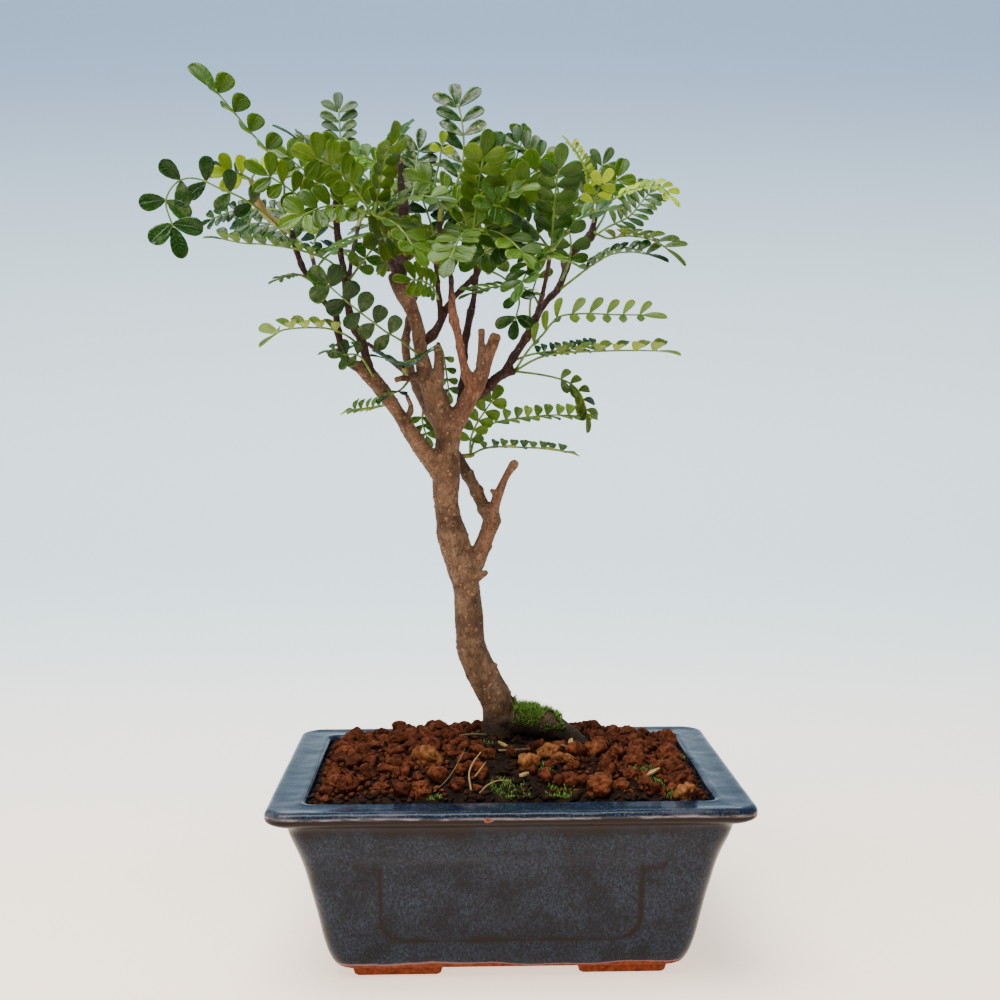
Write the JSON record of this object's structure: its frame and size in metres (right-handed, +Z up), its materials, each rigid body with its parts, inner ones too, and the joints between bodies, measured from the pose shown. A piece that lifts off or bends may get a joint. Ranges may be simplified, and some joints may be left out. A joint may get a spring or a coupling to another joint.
{
  "type": "chinese pepper bonsai",
  "caption": "Small forked pepper tree with feathery compound leaves, in a footed rectangular glazed pot with soil and clay crumbs.",
  "frame": {"origin": "on the surface that the pot stands on, under the middle of the whole plant's and pot's overall extents", "axes": "+X along the long side of the pot, to the right as seen from the tree's front; +Z up; the front of the tree looks towards -Y"},
  "size_m": [0.2123, 0.1296, 0.3266],
  "materials": {
    "leaf_light": "satin",
    "leaf_pale": "satin",
    "leaf_mid": "satin",
    "leaf_dark": "satin",
    "leaf_olive": "satin",
    "leaf_bright": "satin",
    "screen_plastic": "matte",
    "leaf_grey": "satin",
    "leaf_young": "satin",
    "leaf_silver": "satin",
    "blue_glaze": "gloss",
    "dark_soil": "matte",
    "bark": "matte"
  },
  "bodies": {
    "root": {"arched_light": "leaf_light", "behind_right": "leaf_pale", "bunch_back_left": "leaf_mid", "bunch_back_middle": "leaf_dark", "bunch_back_outer": "leaf_dark", "bunch_back_right": "leaf_mid", "bunch_front_left": "leaf_light", "bunch_front_right": "leaf_mid", "bunch_inner": "leaf_light", "bunch_low": "leaf_olive", "cross_leaves": "leaf_light", "crown_edge": "leaf_bright", "crown_front": "leaf_light", "drain_screen_1": "screen_plastic", "drain_screen_2": "screen_plastic", "far_left_small": "leaf_grey", "front_dark": "leaf_dark", "gap_leaves": "leaf_mid", "hanging_behind": "leaf_grey", "hanging_front": "leaf_dark", "high_fan": "leaf_light", "left_behind": "leaf_grey", "left_bright": "leaf_bright", "left_cluster": "leaf_dark", "left_fan": "leaf_light", "left_hook": "leaf_dark", "left_inner": "leaf_bright", "left_long": "leaf_light", "left_low": "leaf_dark", "left_middle": "leaf_light", "left_mixed": "leaf_mid", "left_olive": "leaf_olive", "left_pale": "leaf_pale", "left_shoot": "leaf_young", "left_thin": "leaf_mid", "left_upper": "leaf_light", "long_edge": "leaf_grey", "low_behind": "leaf_pale", "main_top": "leaf_silver", "pot": "blue_glaze", "right_arch": "leaf_pale", "right_behind": "leaf_grey", "right_bud": "leaf_young", "right_curl": "leaf_olive", "right_fan": "leaf_pale", "right_front": "leaf_mid", "right_inner": "leaf_young", "right_long": "leaf_olive", "right_lower": "leaf_dark", "right_small": "leaf_dark", "right_upright": "leaf_olive", "right_young": "leaf_young", "soil": "dark_soil", "spur_flat": "leaf_dark", "spur_low": "leaf_dark", "top_behind": "leaf_grey", "top_bright": "leaf_bright", "top_left": "leaf_silver", "top_middle": "leaf_mid", "trunk": "bark"}
  },
  "joints": []
}
